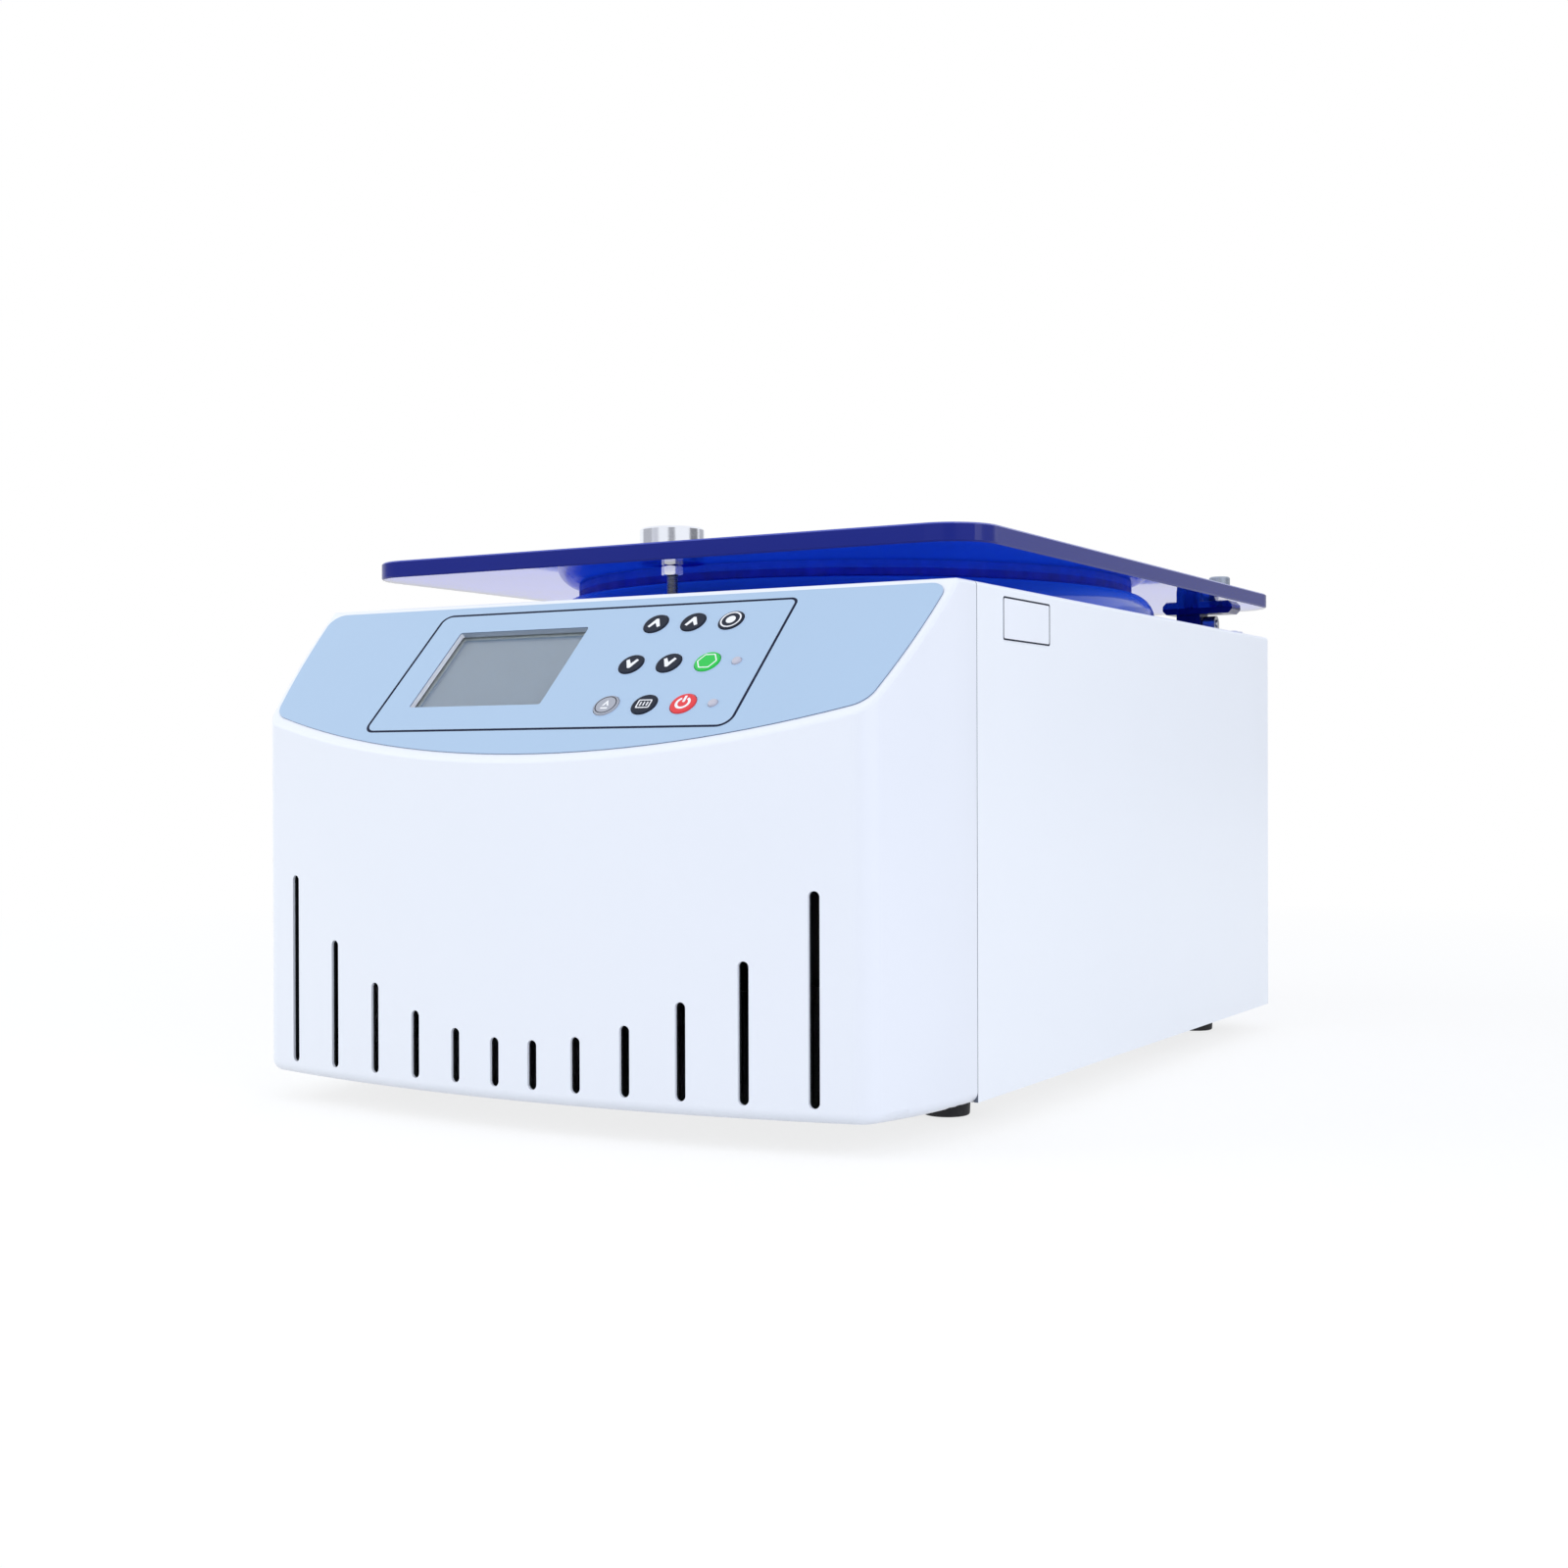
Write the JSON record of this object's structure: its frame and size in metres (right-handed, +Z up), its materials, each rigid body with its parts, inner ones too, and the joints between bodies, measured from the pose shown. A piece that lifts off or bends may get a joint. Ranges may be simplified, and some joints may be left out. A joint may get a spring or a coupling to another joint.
{
  "type": "gel card centrifuge",
  "caption": "Bench-top gel card centrifuge: white cabinet with a bowed front and sloping key panel, hinged blue see-through lid, and a rotor with swing-out card holders.",
  "frame": {"origin": "on the bench, under the middle of the machine's outer box", "axes": "+Z up, the control panel faces -Y, +X is to the right of a person facing the panel"},
  "size_m": [0.3704, 0.576, 0.2905],
  "materials": {
    "cover_white": "fine satin powder coat",
    "front_white": "satin moulded and lacquered",
    "overlay_blue": "printed polyester film, satin",
    "lamp_lilac": "translucent lens, unlit",
    "clear_pane": "polished",
    "display_grey": "reflective liquid crystal, unlit",
    "board_green": "solder mask",
    "key_navy": "satin",
    "key_green": "satin",
    "key_grey": "satin",
    "key_red": "satin",
    "black_rubber": "matt",
    "screw_steel": "bright zinc",
    "label_pale": "blank printed plate",
    "bowl_steel": "spun and brushed",
    "collar_blue": "smooth gloss",
    "acrylic_blue": "polished tinted acrylic",
    "turned_aluminium": "fine turned",
    "seal_blue": "matt",
    "cap_pale": "smooth",
    "black_plastic": "fine grained",
    "motor_grey": "satin",
    "plated_steel": "zinc plated",
    "rotor_aluminium": "machined and anodised",
    "holder_plastic": "moulded",
    "hinge_navy": "satin powder coat",
    "rocker_red": "smooth"
  },
  "bodies": {
    "cabinet": {"front_panel": "front_white", "control_overlay": "overlay_blue", "status_lamps": "lamp_lilac", "display_window": "clear_pane", "display_module": "display_grey", "control_board": "board_green", "body_cover": "cover_white", "base_plate": "plated_steel", "feet": "black_rubber", "foot_screws": "screw_steel", "rating_plate": "label_pale", "chamber_bowl": "bowl_steel", "chamber_collar": "collar_blue", "stud_guide": "black_plastic", "hinge_brackets": "plated_steel", "hinge_pins": "screw_steel", "bracket_screws": "screw_steel", "lock_body": "black_plastic", "motor_housing": "motor_grey", "motor_bearings": "screw_steel", "motor_plate": "plated_steel", "motor_dampers": "black_rubber", "motor_posts": "plated_steel", "shaft_boot": "black_rubber", "power_board": "board_green", "rear_panel": "cover_white", "rear_screws": "screw_steel", "power_inlet": "black_plastic", "power_switch_frame": "black_plastic", "fuse_holder": "black_plastic", "fan_frame": "black_plastic"},
    "lid": {"lid_plate": "acrylic_blue", "lid_seal": "seal_blue", "lid_knob": "turned_aluminium", "latch_stud": "screw_steel", "stud_nut": "screw_steel", "hinge_leaves": "hinge_navy", "hinge_caps": "cap_pale", "hinge_nuts": "turned_aluminium"},
    "rotor": {"rotor_yoke": "rotor_aluminium", "rotor_nut": "black_plastic", "motor_shaft": "plated_steel"},
    "holder_1": {"card_holder_1": "holder_plastic"},
    "holder_2": {"card_holder_2": "holder_plastic"},
    "holder_3": {"card_holder_3": "holder_plastic"},
    "holder_4": {"card_holder_4": "holder_plastic"},
    "holder_5": {"card_holder_5": "holder_plastic"},
    "holder_6": {"card_holder_6": "holder_plastic"},
    "key_speed_up": {"key_speed_up": "key_navy"},
    "key_time_up": {"key_time_up": "key_navy"},
    "key_ring": {"key_ring": "key_navy"},
    "key_speed_down": {"key_speed_down": "key_navy"},
    "key_time_down": {"key_time_down": "key_navy"},
    "key_start": {"key_start": "key_green"},
    "key_mode": {"key_mode": "key_grey"},
    "key_store": {"key_store": "key_navy"},
    "key_stop": {"key_stop": "key_red"},
    "rocker": {"power_switch_rocker": "rocker_red"},
    "fan": {"fan_blades": "black_plastic"},
    "bolt": {"lock_bolt": "screw_steel"}
  },
  "joints": [
    {"name": "lid_hinge", "type": "hinge", "parent": "cabinet", "child": "lid", "pos_m": [0, 0.253, 0.26], "axis": [-1, 0, 0], "range_deg": [0, 80]},
    {"name": "rotor_spin", "type": "hinge", "parent": "cabinet", "child": "rotor", "pos_m": [0, 0.043, 0.2], "axis": [0, 0, 1], "continuous": true},
    {"name": "holder_1_swing", "type": "hinge", "parent": "rotor", "child": "holder_1", "pos_m": [0.08054, 0.0895, 0.2], "axis": [0.5, -0.866, 0], "range_deg": [0, 90]},
    {"name": "holder_2_swing", "type": "hinge", "parent": "rotor", "child": "holder_2", "pos_m": [0, 0.136, 0.2], "axis": [1, 0, 0], "range_deg": [0, 90]},
    {"name": "holder_3_swing", "type": "hinge", "parent": "rotor", "child": "holder_3", "pos_m": [-0.08054, 0.0895, 0.2], "axis": [0.5, 0.866, 0], "range_deg": [0, 90]},
    {"name": "holder_4_swing", "type": "hinge", "parent": "rotor", "child": "holder_4", "pos_m": [-0.08054, -0.0035, 0.2], "axis": [-0.5, 0.866, 0], "range_deg": [0, 90]},
    {"name": "holder_5_swing", "type": "hinge", "parent": "rotor", "child": "holder_5", "pos_m": [0, -0.05, 0.2], "axis": [-1, 0, 0], "range_deg": [0, 90]},
    {"name": "holder_6_swing", "type": "hinge", "parent": "rotor", "child": "holder_6", "pos_m": [0.08054, -0.0035, 0.2], "axis": [-0.5, -0.866, 0], "range_deg": [0, 90]},
    {"name": "key_speed_up_press", "type": "slide", "parent": "cabinet", "child": "key_speed_up", "axis": [0, 0.6947, -0.7193], "range_m": [0, 0.0008], "stiffness_N_per_m": 400},
    {"name": "key_time_up_press", "type": "slide", "parent": "cabinet", "child": "key_time_up", "axis": [0, 0.6947, -0.7193], "range_m": [0, 0.0008], "stiffness_N_per_m": 400},
    {"name": "key_ring_press", "type": "slide", "parent": "cabinet", "child": "key_ring", "axis": [0, 0.6947, -0.7193], "range_m": [0, 0.0008], "stiffness_N_per_m": 400},
    {"name": "key_speed_down_press", "type": "slide", "parent": "cabinet", "child": "key_speed_down", "axis": [0, 0.6947, -0.7193], "range_m": [0, 0.0008], "stiffness_N_per_m": 400},
    {"name": "key_time_down_press", "type": "slide", "parent": "cabinet", "child": "key_time_down", "axis": [0, 0.6947, -0.7193], "range_m": [0, 0.0008], "stiffness_N_per_m": 400},
    {"name": "key_start_press", "type": "slide", "parent": "cabinet", "child": "key_start", "axis": [0, 0.6947, -0.7193], "range_m": [0, 0.0008], "stiffness_N_per_m": 400},
    {"name": "key_mode_press", "type": "slide", "parent": "cabinet", "child": "key_mode", "axis": [0, 0.6947, -0.7193], "range_m": [0, 0.0008], "stiffness_N_per_m": 400},
    {"name": "key_store_press", "type": "slide", "parent": "cabinet", "child": "key_store", "axis": [0, 0.6947, -0.7193], "range_m": [0, 0.0008], "stiffness_N_per_m": 400},
    {"name": "key_stop_press", "type": "slide", "parent": "cabinet", "child": "key_stop", "axis": [0, 0.6947, -0.7193], "range_m": [0, 0.0008], "stiffness_N_per_m": 400},
    {"name": "power_rocker_tip", "type": "hinge", "parent": "cabinet", "child": "rocker", "pos_m": [-0.12, 0.255, 0.1], "axis": [-1, 0, 0], "range_deg": [0, 16]},
    {"name": "fan_spin", "type": "hinge", "parent": "cabinet", "child": "fan", "pos_m": [0.095, 0.2465, 0.1], "axis": [0, 1, 0], "continuous": true},
    {"name": "lock_bolt_slide", "type": "slide", "parent": "cabinet", "child": "bolt", "axis": [0, -1, 0], "range_m": [0, 0.0029], "stiffness_N_per_m": 150}
  ]
}
